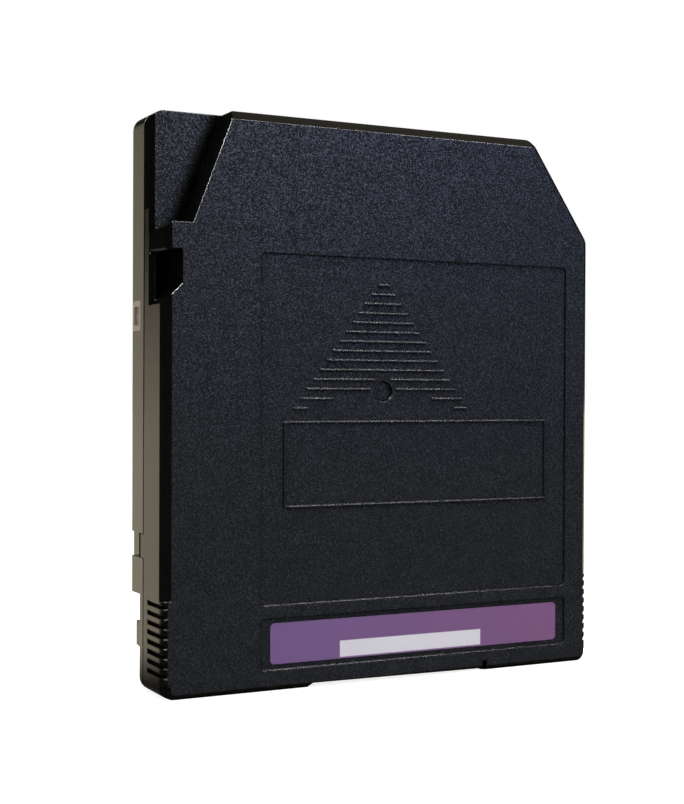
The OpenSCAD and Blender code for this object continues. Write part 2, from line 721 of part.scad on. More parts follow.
// Drive-side shell, with the round opening, the cut-backs and the gripper pockets
module back_shell() color(shell_color) {
    difference() {
        union() {
            difference() {
                union() {
                    bevelled_block([[part_y + seam, 0, 0, 0],
                        [drive_y - foot_bevel - eps, 0, 0, 0],
                        [drive_y - eps, foot_bevel, foot_bevel, foot_bevel]]);
                    bevelled_block([[part_y, seam, seam, seam]], 1);
                }
                slab(part_y - 1, step_y - wall * 0.75) difference() {
                    inside_walls(side_x - wall);
                    translate([-case_w, -1]) square([2 * case_w, cutback_h + wall + 1]);
                }
                slab(part_y - 1, back_in) difference() {
                    inside_walls(step_in);
                    both_sides() translate([-case_w, -1])
                        square([case_w - cutback_x + wall * 0.75, cutback_h + wall * 0.75 + 1]);
                }
                // Steps along both sides and cut-backs beside the grips
                both_sides() block([-side_x - 1, step_y, -1], [-step_x, drive_y + 1, case_h + 1]);
                both_sides() block([-side_x - 1, part_y + cutback_lip, -1],
                    [-cutback_x, drive_y + 1, cutback_h]);
            }
            // Tab left standing in each cut-back, with its lower outer corner taken off
            both_sides() slab(part_y + cutback_lip - 1, part_y + cutback_lip + 3)
                polygon([[-side_x + 0.9, tab_z], [-cutback_x + 1, tab_z],
                    [-cutback_x + 1, tab_z + tab_h], [-side_x + 0.3, tab_z + tab_h],
                    [-side_x + 0.3, tab_z + 0.6]]);
            // Walls behind the gripper pockets
            both_sides() block([-side_x + wall - 0.2, part_y, pocket_z - 1.4],
                [-side_x + pocket_depth + 1.2, step_y + 1, pocket_z + pocket_h + 1.4]);
            // Closed end of the well behind the notch
            block([-side_x + wall / 2, part_y, notch_z0 - notch_wall],
                [notch_x + notch_wall, well_y + notch_wall, notch_z1 + notch_wall]);
            // Reel well, rest ring round the opening, screw bosses
            well_wall(part_y, back_in + 1);
            ring(opening_r + 3.2, opening_r + 1.4, reel_back + gap, back_in + 1);
            for (s = screw_spots) bar(s[0], s[1], boss_r_out, boss_split_y, back_in + 1);
            for (s = datum_spots)
                bar(s[0], s[1], datum_r + 1.4, drive_y - datum_depth - 1.4, back_in + 1);
            // Seat of the leader pin, slot of the pin spring, rail and stop of the door
            pin_seat(pin_y1 - pin_head_t + fit, back_in + 1, pin_y1 + fit, back_in + 2);
            block([door_x0 - 0.4, port_y1 + 0.1, door_under - gap * 0.8 - 1],
                [stop_x - 2, back_in + 1, door_under - gap * 0.8]);
            block([stop_x, part_y, coil_z - door_coil_r - 1], [stop_x + 1.2, back_in + 1, lead_in + 1]);
            // Slotted post of the memory board
            translate([board_x, 0, board_z]) rotate([0, 45, 0]) for (s = [-1, 1])
                block([s * board_l / 2 - 1.2, tape_y, -board_t / 2 - fit - 1],
                    [s * board_l / 2 + 1.2, back_in + 1, board_t / 2 + fit + 1]);
        }
        bar(axis_x, axis_z, opening_r, back_in - 0.1, drive_y + 1);
        // Gripper pockets, small windows, well of the notch
        both_sides() block([-side_x - 1, part_y - 1, pocket_z],
            [-side_x + pocket_depth, step_y + 0.4, pocket_z + pocket_h]);
        both_sides() block([-side_x - 1, part_y + 3.75, window_z],
            [-side_x + 0.5, step_y - 1.1, window_z + window_h]);
        block([-side_x + notch_wall, part_y - 1, notch_z0 + notch_wall], [notch_x, well_y, notch_z1]);
        port_cut();
        // Screw ways and datum holes
        for (s = screw_spots) {
            bar(s[0], s[1], screw_r + 0.2, boss_split_y - 1, drive_y + 1);
            bar(s[0], s[1], head_r + 0.2, head_seat_y, drive_y + 1);
        }
        for (s = datum_spots) bar(s[0], s[1], datum_r, drive_y - datum_depth, drive_y + 1);
        // Slots of the memory board
        translate([board_x, 0, board_z]) rotate([0, 45, 0])
            block([-board_l / 2 - fit, tape_y - 1, -board_t / 2 - fit],
                [board_l / 2 + fit, board_w / 2 + tape_y + fit, board_t / 2 + fit]);
    }
}

// Printed label in its panel
module product_label() color([0.62, 0.50, 0.70])
    slab(label_y + panel_depth - label_t, label_y + panel_depth)
        rounded(-side_x + panel_left + label_end, strip_z0 + label_margin,
            side_x - panel_right - label_end, strip_z1 - label_margin, 1);

// Sliding shutter of the tape port, with its lug, tail block and spring peg
module door() color([0.16, 0.16, 0.17]) {
    block([door_x0, door_y0, door_under], [door_x1, door_y1, door_top]);
    block([lug_x0, lug_y0, door_top - 0.5], [lug_x0 + lug_w, lug_y0 + lug_l, case_h - 0.4]);
    block([door_x1 - tail_w, coil_y - 2.2, tail_z], [door_x1, coil_y + 2.2, door_under + 0.5]);
    translate([door_x1 - 0.5, coil_y, coil_z]) rotate([0, 90, 0])
        cylinder(r = door_coil_r - door_wire / 2 - fit, h = 3.5);
}

// Return spring of the door
module door_spring() color([0.75, 0.75, 0.77])
    translate([door_x1 + fit, coil_y, coil_z]) rotate([0, 90, 0])
        coil(door_coil_r, door_wire, door_spring_l - 2 * fit, 14, 12, 5);

// Hub with its web, toothed rings and the drive-side flange, moulded in one piece
module reel_hub() color([0.72, 0.73, 0.74]) difference() {
    union() {
        ring(hub_r, hub_bore_r, slot_front, reel_back);
        ring(flange_r, hub_bore_r, slot_back, reel_back);
        bar(axis_x, axis_z, hub_r - 1, web_in, reel_back);
        axis_teeth(reel_back, 1, drive_tooth_h, 0);
        axis_teeth(web_in, -1, brake_tooth_h, 0);
    }
    for (a = [0, 120, 240]) translate([axis_x, 0, axis_z]) rotate([0, a, 0])
        bar(foot_ring_r, 0, pad_foot_r + fit, web_in - 1, reel_back + 1);
}

// Label-side flange, welded to the hub
module reel_flange() color([0.80, 0.81, 0.82]) ring(flange_r, hub_bore_r, reel_front, slot_front);

// Steel ring that the drive's magnet holds
module drive_plate() color([0.70, 0.70, 0.70]) ring(plate_r, 3.2, reel_back, reel_back + plate_t);

// The wound tape
module tape_pack() color([0.20, 0.15, 0.13])
    ring(pack_r, hub_r + eps, slot_front + gap / 2, slot_back - gap / 2);

// Leader film from the pack to the pin
module tape_leader() color([0.25, 0.20, 0.18])
    strip([axis_x + leader_r * cos(leader_a), axis_z + leader_r * sin(leader_a)],
        [axis_x + leader_r * cos(leader_a) + (leader_l - pin_r - 0.75) * sin(leader_a),
            axis_z + leader_r * sin(leader_a) - (leader_l - pin_r - 0.75) * cos(leader_a)],
        leader_t, tape_y - tape_w / 2, tape_y + tape_w / 2);

// Toothed brake button that slides on the guide cross
module brake_button() color([0.86, 0.86, 0.84]) difference() {
    union() {
        bar(axis_x, axis_z, button_r, button_front, button_back);
        ring(button_r, foot_ring_r + pad_foot_r + 2 * gap, button_back - 0.2, brake_base);
        axis_teeth(brake_base, 1, brake_tooth_h, 0.5);
        bar(axis_x, axis_z, boss_r, boss_front, button_front + 0.1);
        bar(axis_x, axis_z, 1.6, button_back - 0.1, pad_front - fit);
    }
    guide_cross(fit, boss_front - 1, button_front);
}

// Spring that presses the brake button into the hub
module brake_spring() color([0.75, 0.75, 0.77])
    translate([axis_x, front_in + fit, axis_z]) rotate([-90, 0, 0])
        coil(brake_coil_r, brake_wire, button_front - front_in - 2 * fit, 4, 24, 6);

// Three-footed pad that the drive's spindle pushes to free the brake
module release_pad() color([0.82, 0.80, 0.72]) {
    bar(axis_x, axis_z, 8, pad_front, pad_back);
    for (a = [0, 120, 240]) translate([axis_x, 0, axis_z]) rotate([0, a, 0]) {
        block([0, pad_front, -pad_foot_r * 0.9], [foot_ring_r, pad_back, pad_foot_r * 0.9]);
        bar(foot_ring_r, 0, pad_foot_r, pad_front, reel_back + drive_tooth_h - 0.1);
    }
}

// Leader pin: a turned shaft with two heads
module leader_pin() color([0.78, 0.78, 0.80]) {
    bar(pin_x, pin_z, pin_r, pin_y0 + pin_head_t / 2, pin_y1 - pin_head_t / 2);
    for (y = [pin_y0, pin_y1 - pin_head_t])
        bar(pin_x, pin_z, pin_head_r, y, y + pin_head_t);
}

// Plastic clamp that holds the leader on the pin
module leader_clamp() color([0.85, 0.85, 0.83]) {
    half = tape_w / 2;
    difference() {
        bar(pin_x, pin_z, pin_r + 0.7, tape_y - half, tape_y + half);
        bar(pin_x, pin_z, pin_r + eps, tape_y - half - 1, tape_y + half + 1);
        translate([pin_x, 0, pin_z]) rotate([0, -30, 0])
            block([-0.9, tape_y - half - 1, 0], [0.9, tape_y + half + 1, 4]);
    }
}

// Sheet-steel spring whose two arms hold the heads of the leader pin
module pin_spring() color([0.72, 0.72, 0.74]) {
    bend = [leaf_x, pin_z - 1.5];
    tip = [pin_x - pin_head_r * 0.75, pin_z + pin_head_r * 0.92];
    strip([leaf_x, pin_z - leaf_root], bend, leaf_t, pin_y0 + 0.2, pin_y1 - 0.2);
    for (y = [pin_y0 + 0.2, pin_y1 - pin_head_t]) {
        strip(bend - [0.05, 0.1], [tip[0] - 1.6, tip[1] + 0.35], leaf_t, y, y + pin_head_t - 0.2);
        strip([tip[0] - 1.7, tip[1] + 0.37], tip + [0.3, 0.25], leaf_t, y, y + pin_head_t - 0.2);
    }
}

// Write-protect switch with its ridged knob
module write_protect_switch() color([0.75, 0.18, 0.12]) difference() {
    union() {
        block([switch_x0, switch_y0, switch_z0],
            [switch_x0 + switch_l, switch_y0 + switch_w, switch_z0 + switch_t]);
        block([knob_x0, switch_y0 + 1.1, knob_z0],
            [knob_x0 + knob_w, switch_y0 + switch_w - 1.1, switch_z0 + 0.1]);
    }
    for (x = [0.6, 1.4, 2.2]) block([knob_x0 + x, switch_y0, knob_z0 - 1],
        [knob_x0 + x + 0.3, switch_y0 + switch_w, knob_z0 + 0.4]);
}

// Board of the cartridge memory
module memory_board() color([0.10, 0.35, 0.18]) translate([board_x, 0, board_z]) rotate([0, 45, 0])
    block([-board_l / 2, tape_y - board_w / 2, -board_t / 2],
        [board_l / 2, tape_y + board_w / 2, board_t / 2]);

// Memory chip on its board
module memory_chip() color([0.08, 0.08, 0.08]) translate([board_x, 0, board_z]) rotate([0, 45, 0])
    block([-1.8, tape_y - 4, board_t / 2], [1.8, tape_y - 0.4, board_t / 2 + 0.8]);

// Four case screws
module case_screws() color([0.30, 0.30, 0.32]) for (s = screw_spots) difference() {
    union() {
        bar(s[0], s[1], head_r, head_seat_y, head_seat_y + head_h);
        bar(s[0], s[1], screw_r - eps, head_seat_y - screw_l, head_seat_y + 0.1);
    }
    translate([s[0], head_seat_y + head_h - 0.8, s[1]]) rotate([-90, 0, 0])
        cylinder(r = 1, h = 2, $fn = 6);
}

front_shell();
back_shell();
product_label();
door();
door_spring();
reel_hub();
reel_flange();
drive_plate();
tape_pack();
tape_leader();
brake_button();
brake_spring();
release_pad();
leader_pin();
leader_clamp();
pin_spring();
write_protect_switch();
memory_board();
memory_chip();
case_screws();
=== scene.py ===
import json
import math

import bpy
import numpy as np
from mathutils import Matrix, Vector


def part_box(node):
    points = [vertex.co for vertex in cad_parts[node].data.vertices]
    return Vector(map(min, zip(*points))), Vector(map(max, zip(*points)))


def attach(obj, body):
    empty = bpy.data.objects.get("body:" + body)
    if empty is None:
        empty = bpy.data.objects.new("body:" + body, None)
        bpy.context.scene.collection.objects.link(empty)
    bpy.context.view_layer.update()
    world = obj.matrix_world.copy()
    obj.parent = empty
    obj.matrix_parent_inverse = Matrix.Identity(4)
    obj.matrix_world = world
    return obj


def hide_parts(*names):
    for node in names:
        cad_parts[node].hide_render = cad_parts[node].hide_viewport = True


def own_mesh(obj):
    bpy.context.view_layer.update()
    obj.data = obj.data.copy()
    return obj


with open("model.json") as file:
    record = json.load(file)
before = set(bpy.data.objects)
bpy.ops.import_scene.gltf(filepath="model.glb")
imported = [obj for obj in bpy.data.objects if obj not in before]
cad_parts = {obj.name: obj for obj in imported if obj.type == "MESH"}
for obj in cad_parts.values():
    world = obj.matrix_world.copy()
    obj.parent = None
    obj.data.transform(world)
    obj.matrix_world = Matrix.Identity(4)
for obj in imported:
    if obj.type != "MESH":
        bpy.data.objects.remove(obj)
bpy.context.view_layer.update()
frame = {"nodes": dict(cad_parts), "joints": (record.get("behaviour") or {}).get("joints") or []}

# --- Camera -----------------------------------------------------------------------------
# A long lens stands a third of a metre away, a little to the left of the cartridge and at
# mid height, and looks almost level across the label face and the left side.
lens_cam = bpy.data.cameras.new("studio_camera")
lens_cam.sensor_fit = "AUTO"
lens_cam.sensor_width = 36.0
lens_cam.lens = 64.8775
turn, pitch, roll = math.radians(27.081), math.radians(-0.457), math.radians(0.235)
ahead = Vector((math.sin(turn) * math.cos(pitch), math.cos(turn) * math.cos(pitch), math.sin(pitch)))
level = ahead.cross(Vector((0, 0, 1))).normalized()
upright = level.cross(ahead)
right = math.cos(roll) * level + math.sin(roll) * upright
up = math.cos(roll) * upright - math.sin(roll) * level
stands_at = Matrix.Translation((-0.158570, -0.297708, 0.065255))
camera = bpy.data.objects.new("studio_camera", lens_cam)
camera.matrix_world = stands_at @ Matrix((right, up, -ahead)).transposed().to_4x4()
bpy.context.scene.collection.objects.link(camera)
bpy.context.scene.camera = camera
bpy.context.scene.view_settings.view_transform = "Standard"

# --- Studio -----------------------------------------------------------------------------
# A white sweep stands behind the cartridge and the room in front of it is dim, so a side
# seen at a low angle mirrors the sweep and the label face stays dark. The sweep is warm.


def add(tree, kind, inputs, **settings):
    """Adds a node with the given settings. Each named or numbered input gets a value, or a
    link from another node's output."""
    made = tree.nodes.new("ShaderNode" + kind)
    for name, value in settings.items():
        setattr(made, name, value)
    for name, value in inputs.items():
        socket = made.inputs[name]
        if isinstance(value, bpy.types.NodeSocket):
            tree.links.new(value, socket)
        else:
            socket.default_value = (*value, 1) if socket.type == "RGBA" else value
    return made


def maths(tree, operation, *values):
    """One operation on numbers or outputs."""
    return add(tree, "Math", dict(enumerate(values)), operation=operation).outputs[0]


def ramp(tree, value, start, end, low=0.0, high=1.0, smooth=False):
    """Goes from low to high while value goes from start to end, and stays level beyond."""
    limits = {"Value": value, "From Min": start, "From Max": end, "To Min": low, "To Max": high}
    kind = "SMOOTHSTEP" if smooth else "LINEAR"
    return add(tree, "MapRange", limits, interpolation_type=kind).outputs["Result"]


def blend(tree, factor, low, high, kind="RGBA"):
    """Goes from low to high with the factor; both are colours, or numbers if kind is FLOAT."""
    return add(tree, "Mix", {"Factor": factor, "A": low, "B": high}, data_type=kind).outputs["Result"]


def coordinates(tree, system="Object"):
    """A place in the object's own coordinates, and its X, Y and Z."""
    place = tree.nodes.new("ShaderNodeTexCoord").outputs[system]
    return place, add(tree, "SeparateXYZ", {0: place}).outputs


studio = bpy.data.worlds.new("studio")
bpy.context.scene.world = studio
studio.use_nodes = True
studio.cycles.sampling_method = "NONE"
tree = studio.node_tree
tree.nodes.clear()
way = coordinates(tree, "Generated")[1]


def room_zone(axis, start, end):
    """A mask of the directions along one axis of the room that grows softly from start to end."""
    return ramp(studio.node_tree, way[axis], start, end, smooth=True)


# What shiny surfaces mirror: a bluish window at the front right, which is deep blue at its
# far end and dark below, a bright ceiling over the dim room, and the sweep at the back left
window = blend(tree, room_zone("X", 0.32, 0.42), (0.10, 0.11, 0.12), (0.42, 0.53, 1.10))
window = blend(tree, room_zone("X", 0.42, 0.62), window, (0.08, 0.14, 0.48))
window = blend(tree, room_zone("Z", -0.05, 0.34), (0.08, 0.08, 0.10), window)
ceiling = blend(tree, room_zone("Z", 0.60, 0.85), (0.030, 0.030, 0.030), (1.90, 1.65, 1.20))
sweep = blend(tree, room_zone("Z", -0.10, 0.20), (1.10, 0.98, 0.73), (0.80, 0.72, 0.52))
front_right = maths(tree, "MULTIPLY", room_zone("X", -0.10, 0.25), room_zone("Y", -0.30, -0.70))
back_left = maths(tree, "MULTIPLY", room_zone("X", -0.20, -0.28), room_zone("Y", 0.885, 0.945))
surroundings = blend(tree, back_left, blend(tree, front_right, ceiling, window), sweep)

# Matte surfaces get an even grey, and the camera sees plain white
ray = tree.nodes.new("ShaderNodeLightPath").outputs
seen = maths(tree, "MAXIMUM", ray["Is Camera Ray"], ray["Is Transmission Ray"])
even, mirrored, white = (add(tree, "Background", {"Color": colour}).outputs[0]
                         for colour in ((0.55, 0.55, 0.58), surroundings, (1, 1, 1)))
lit = add(tree, "MixShader", {0: ray["Is Glossy Ray"], 1: even, 2: mirrored}).outputs[0]
room = add(tree, "MixShader", {0: seen, 1: lit, 2: white}).outputs[0]
add(tree, "OutputWorld", {"Surface": room})

# Lamps: a large soft box overhead gives the matte light, and two small ones above the
# front left and the front right are only seen as highlights on edges
for name, place, aim, wide, high, watts, matte_light in (
        ("soft_box_over", (0.12, -0.12, 0.60), (0.0, 0.0, 0.08), 0.36, 0.36, 5.4, True),
        ("edge_light_left", (-0.36, -0.20, 0.54), (-0.03, 0.0, 0.08), 0.32, 0.32, 30.0, False),
        ("edge_light_right", (0.22, -0.37, 0.46), (0.0, 0.0, 0.08), 0.40, 0.12, 5.0, False)):
    lamp_data = bpy.data.lights.new(name, "AREA")
    lamp_data.shape = "ELLIPSE"
    lamp_data.size, lamp_data.size_y = wide, high
    lamp_data.energy = watts
    lamp = bpy.data.objects.new(name, lamp_data)
    lamp.visible_diffuse = matte_light
    lamp.visible_glossy = not matte_light
    facing = (Vector(aim) - Vector(place)).to_track_quat("-Z", "Y")
    lamp.matrix_world = Matrix.Translation(place) @ facing.to_matrix().to_4x4()
    bpy.context.scene.collection.objects.link(lamp)

# Floor: a matte pale sheet that reads white and keeps a faint shadow. In a mirror it is
# dark at the front and as bright as the sweep behind the cartridge.
floor_mesh = bpy.data.meshes.new("floor")
floor_mesh.from_pydata([(-4, -4, 0), (4, -4, 0), (4, 4, 0), (-4, 4, 0)], [], [(0, 1, 2, 3)])
floor = bpy.data.objects.new("floor", floor_mesh)
bpy.context.scene.collection.objects.link(floor)
floor_paint = bpy.data.materials.new("floor_paint")
floor_paint.use_nodes = True
tree = floor_paint.node_tree
tree.nodes.clear()
depth = coordinates(tree)[1]["Y"]
ray = tree.nodes.new("ShaderNodeLightPath").outputs
matte = add(tree, "BsdfDiffuse", {"Color": (0.55, 0.55, 0.55)}).outputs[0]
glow = add(tree, "Emission", {"Color": (0.86, 0.86, 0.86), "Strength": ray["Is Camera Ray"]}).outputs[0]
seen = add(tree, "AddShader", {0: matte, 1: glow}).outputs[0]
behind = ramp(tree, depth, 0.0, 0.06, smooth=True)
mirrored_colour = blend(tree, behind, (0.05, 0.045, 0.04), (1.05, 0.94, 0.70))
mirrored = add(tree, "Emission", {"Color": mirrored_colour}).outputs[0]
lit = add(tree, "MixShader", {0: ray["Is Glossy Ray"], 1: seen, 2: mirrored}).outputs[0]
add(tree, "OutputMaterial", {"Surface": lit})
floor.data.materials.append(floor_paint)

# --- Case shells ------------------------------------------------------------------------
# Two injection-moulded halves in blue-black plastic. Their large faces carry a fine
# spark-eroded grain, while the sides, bevels and pockets come from polished steel.
grain = bpy.data.node_groups.new("spark_grain", "ShaderNodeTree")
for in_out, names in (("INPUT", ("Pitch", "Face Only")), ("OUTPUT", ("Height", "Speck", "Cloud", "Face"))):
    for name in names:
        grain.interface.new_socket(name, in_out=in_out, socket_type="NodeSocketFloat")
given = grain.nodes.new("NodeGroupInput").outputs
place = grain.nodes.new("ShaderNodeTexCoord").outputs["Object"]
fine = add(grain, "TexNoise", {"Vector": place, "Scale": given["Pitch"], "Detail": 2.0, "Roughness": 0.6})
pit_scale = maths(grain, "MULTIPLY", given["Pitch"], 0.85)
pits = add(grain, "TexVoronoi", {"Vector": place, "Scale": pit_scale})
cloud = add(grain, "TexNoise", {"Vector": place, "Scale": 260.0, "Detail": 3.0})
normal = grain.nodes.new("ShaderNodeNewGeometry").outputs["True Normal"]
slope_y = maths(grain, "ABSOLUTE", add(grain, "SeparateXYZ", {0: normal}).outputs["Y"])
flat_face = maths(grain, "GREATER_THAN", slope_y, 0.95)
everywhere = maths(grain, "SUBTRACT", 1.0, given["Face Only"])
result = grain.nodes.new("NodeGroupOutput").inputs
for name, value in (
        ("Height", blend(grain, 0.35, fine.outputs["Fac"], pits.outputs["Distance"], "FLOAT")),
        ("Speck", ramp(grain, pits.outputs["Color"], 0.45, 0.90)),
        ("Cloud", cloud.outputs["Fac"]),
        ("Face", maths(grain, "MAXIMUM", flat_face, everywhere))):
    grain.links.new(value, result[name])


def new_material(name):
    """A new material, its node tree and its shader."""
    made = bpy.data.materials.new(name)
    made.use_nodes = True
    return made, made.node_tree, made.node_tree.nodes["Principled BSDF"]


def dim(tree, colour, factor):
    """A colour times a factor."""
    return add(tree, "VectorMath", {0: colour, "Scale": factor}, operation="SCALE").outputs[0]


def moulded(name, colour, fleck, rough, relief, pitch=3200.0, polished=None, sides=None, spark=0.0,
            dull_top=None):
    """Moulded plastic: colour with flecks of a lighter one, and a grain of the given relief
    in metres. The grain is everywhere, or with polished, the roughness of the smooth sides,
    only on the large faces. The sides may have a colour of their own, the grain may glint by
    the amount spark, and dull_top gives two heights between which the sides lose their shine."""
    made, tree, body = new_material(name)
    texture = tree.nodes.new("ShaderNodeGroup")
    texture.node_tree = grain
    texture.inputs["Pitch"].default_value = pitch
    texture.inputs["Face Only"].default_value = 0.0 if polished is None else 1.0
    face = texture.outputs["Face"]

    # Edges look rounded, and the flecks stop short of them. agree is the cosine between
    # the rounded normal and the true one.
    soft_edge = add(tree, "Bevel", {"Radius": 0.0003}, samples=4).outputs[0]
    true_normal = tree.nodes.new("ShaderNodeNewGeometry").outputs["True Normal"]
    agree = add(tree, "VectorMath", {0: soft_edge, 1: true_normal}, operation="DOT_PRODUCT")
    off_edge = ramp(tree, agree.outputs["Value"], 0.96, 0.998)
    grained = maths(tree, "MULTIPLY", face, off_edge)
    specks = maths(tree, "MULTIPLY", texture.outputs["Speck"], grained)

    # Colour: flecked and slightly cloudy, with painted shade from ambient occlusion in grooves and crevices
    crevice = add(tree, "AmbientOcclusion", {"Distance": 0.0007}, samples=6).outputs["AO"]
    crevice_shade = ramp(tree, crevice, 0.55, 0.92, 0.06, 1.0)
    tone = blend(tree, specks, colour, fleck)
    if sides:
        tone = blend(tree, face, sides, tone)
    patch = ramp(tree, texture.outputs["Cloud"], 0.3, 0.7, 0.88, 1.12)
    # painted shade: the colour falls to 0.06 of its level deep in grooves
    tone = dim(tree, tone, maths(tree, "MULTIPLY", patch, crevice_shade))
    tree.links.new(tone, body.inputs["Base Color"])

    # Shine: dulled in grooves by the same painted crevice shade; the specks glint, and the plastic between
    # them is duller to make up for it
    shine = crevice_shade
    if spark:
        duller_by = 0.19 * spark
        glint = maths(tree, "MULTIPLY_ADD", specks, spark, 1.0)
        glint = maths(tree, "MULTIPLY_ADD", grained, -duller_by, glint)
        shine = maths(tree, "MULTIPLY", shine, glint)
    if dull_top:
        fading = ramp(tree, coordinates(tree)[1]["Z"], *dull_top, 0.45, 0.03, smooth=True)
        shine = maths(tree, "MULTIPLY", shine, blend(tree, face, fading, 1.0, "FLOAT"))
    plain_level = 0.5
    tree.links.new(maths(tree, "MULTIPLY", shine, plain_level), body.inputs["Specular IOR Level"])
    tree.links.new(blend(tree, face, polished or rough, rough, "FLOAT"), body.inputs["Roughness"])

    # Relief: full on the grained faces and faint on the sides
    strength = maths(tree, "MULTIPLY_ADD", face, 0.92, 0.08)
    bump = add(tree, "Bump", {"Strength": strength, "Distance": relief,
                              "Height": texture.outputs["Height"], "Normal": soft_edge})
    tree.links.new(bump.outputs[0], body.inputs["Normal"])
    return made


def finish_node(node, material):
    """Gives a CAD node one material in place of its own."""
    mesh = frame["nodes"][node].data
    mesh.materials.clear()
    mesh.materials.append(material)


def band(tree, value, low, high):
    """A mask that is 1 while value is between low and high, with short soft ends."""
    soft = 0.00008
    return maths(tree, "MULTIPLY", ramp(tree, value, low - soft, low + soft),
                 ramp(tree, value, high + soft, high - soft))


shell_plastic = {}
for shell, spark, dull_top in (("front_shell", 5.0, (0.058, 0.100)), ("back_shell", 1.2, None)):
    shell_plastic[shell] = moulded(
        shell + "_plastic", (0.0128, 0.0142, 0.0172), (0.0148, 0.0162, 0.0192), 0.21, 0.00002,
        pitch=4700.0, polished=0.17, sides=(0.0034, 0.0032, 0.0030), spark=spark, dull_top=dull_top)
    finish_node(shell, shell_plastic[shell])

# Painted shade darkens the colour and the shine of the thin corner's floor near the foot of the slanted
# wall, where the real part has a deep cove. reach grows away from the wall, and is wall_at on the wall
# itself.
tree = shell_plastic["front_shell"].node_tree
wall_foot, wall_top = Vector((-0.0478, 0, 0.1005)), Vector((-0.0383, 0, 0.1250))
corner_y, corner_z = (-0.0052, 0.0), (0.1003, 0.1260)
away = (wall_top - wall_foot).cross(Vector((0, 1, 0))).normalized()
wall_at = away.dot(wall_foot)
place, axes = coordinates(tree)
reach = add(tree, "VectorMath", {0: place, 1: away}, operation="DOT_PRODUCT").outputs["Value"]
cove = ramp(tree, reach, wall_at + 0.0045, wall_at + 0.0006, smooth=True)
for mask in (band(tree, axes["Y"], *corner_y), band(tree, axes["Z"], *corner_z),
             band(tree, reach, wall_at - 0.0003, wall_at + 0.0060)):
    cove = maths(tree, "MULTIPLY", cove, mask)
# painted shade: colour and shine fall to 0.06 of their level at the foot of the wall
painted_cove_shade = ramp(tree, cove, 0.0, 1.0, 1.0, 0.06)
body = tree.nodes["Principled BSDF"]
shine, colour = body.inputs["Specular IOR Level"], body.inputs["Base Color"]
tree.links.new(maths(tree, "MULTIPLY", shine.links[0].from_socket, painted_cove_shade), shine)
tree.links.new(dim(tree, colour.links[0].from_socket, painted_cove_shade), colour)

# Painted highlight: the small window on each edge gets a paler rim, where the edge of its real rim catches
# the light
tree = shell_plastic["back_shell"].node_tree
rim_x, rim_y, rim_z = (0.0535, 0.0560), (0.0021, 0.0070), (0.0781, 0.0846)
axes = coordinates(tree)[1]
painted_rim_highlight = maths(tree, "MULTIPLY", band(tree, axes["Y"], *rim_y), band(tree, axes["Z"], *rim_z))
painted_rim_highlight = maths(tree, "MULTIPLY", painted_rim_highlight, band(tree, maths(tree, "ABSOLUTE", axes["X"]), *rim_x))
colour = tree.nodes["Principled BSDF"].inputs["Base Color"]
tree.links.new(blend(tree, painted_rim_highlight, colour.links[0].from_socket, (0.30, 0.25, 0.21)), colour)

# --- Label ------------------------------------------------------------------------------
# Coated paper printed in a lilac ground that deepens to the right, with one plain white
# field. It lies in the shallow panel along the label edge.
label_low, label_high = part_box("product_label")
field_x, field_z = (-0.0128, 0.0239), (0.0062, 0.0098)
label_print, tree, body = new_material("label_print")
place, axes = coordinates(tree)
along = ramp(tree, axes["X"], label_low[0], label_high[0])
ground = blend(tree, along, (0.150, 0.080, 0.225), (0.186, 0.074, 0.190))
field = maths(tree, "MULTIPLY", band(tree, axes["X"], *field_x), band(tree, axes["Z"], *field_z))
ink = blend(tree, field, ground, (0.62, 0.60, 0.64))
fibre = add(tree, "TexNoise", {"Vector": place, "Scale": 2400.0, "Detail": 3.0}).outputs["Fac"]
bump = add(tree, "Bump", {"Strength": 0.3, "Distance": 0.00001, "Height": fibre})
tree.links.new(dim(tree, ink, ramp(tree, fibre, 0.0, 1.0, 0.93, 1.07)), body.inputs["Base Color"])
tree.links.new(bump.outputs[0], body.inputs["Normal"])
body.inputs["Roughness"].default_value = 0.38
finish_node("product_label", label_print)

# --- Door and switch --------------------------------------------------------------------
# Small sliding parts moulded in one colour: the door is dark like the case and the
# write-protect switch is red, so that its place can be read at a glance.
finish_node("door", moulded("door_plastic", (0.013, 0.014, 0.018), (0.03, 0.032, 0.04), 0.42, 0.00005))
finish_node("write_protect_switch",
            moulded("switch_plastic", (0.42, 0.030, 0.020), (0.55, 0.06, 0.04), 0.40, 0.00004))

# --- Reel -------------------------------------------------------------------------------
# The hub and its toothed rings are grey-white acetal, as are the flange, the brake button
# and the leader clamp, and the release pad is cream. A pressed steel ring closes the
# middle, where the drive's magnet holds it.
for node, plastic, colour, rough, relief in (
        ("reel_hub", "hub_plastic", (0.62, 0.63, 0.64), 0.42, 0.00003),
        ("reel_flange", "flange_plastic", (0.70, 0.72, 0.73), 0.30, 0.00002),
        ("brake_button", "button_plastic", (0.66, 0.66, 0.63), 0.44, 0.00003),
        ("release_pad", "pad_plastic", (0.62, 0.58, 0.47), 0.44, 0.00003),
        ("leader_clamp", "clamp_plastic", (0.66, 0.66, 0.63), 0.40, 0.00002)):
    paler = tuple(part + 0.08 for part in colour)
    finish_node(node, moulded(plastic, colour, paler, rough, relief))


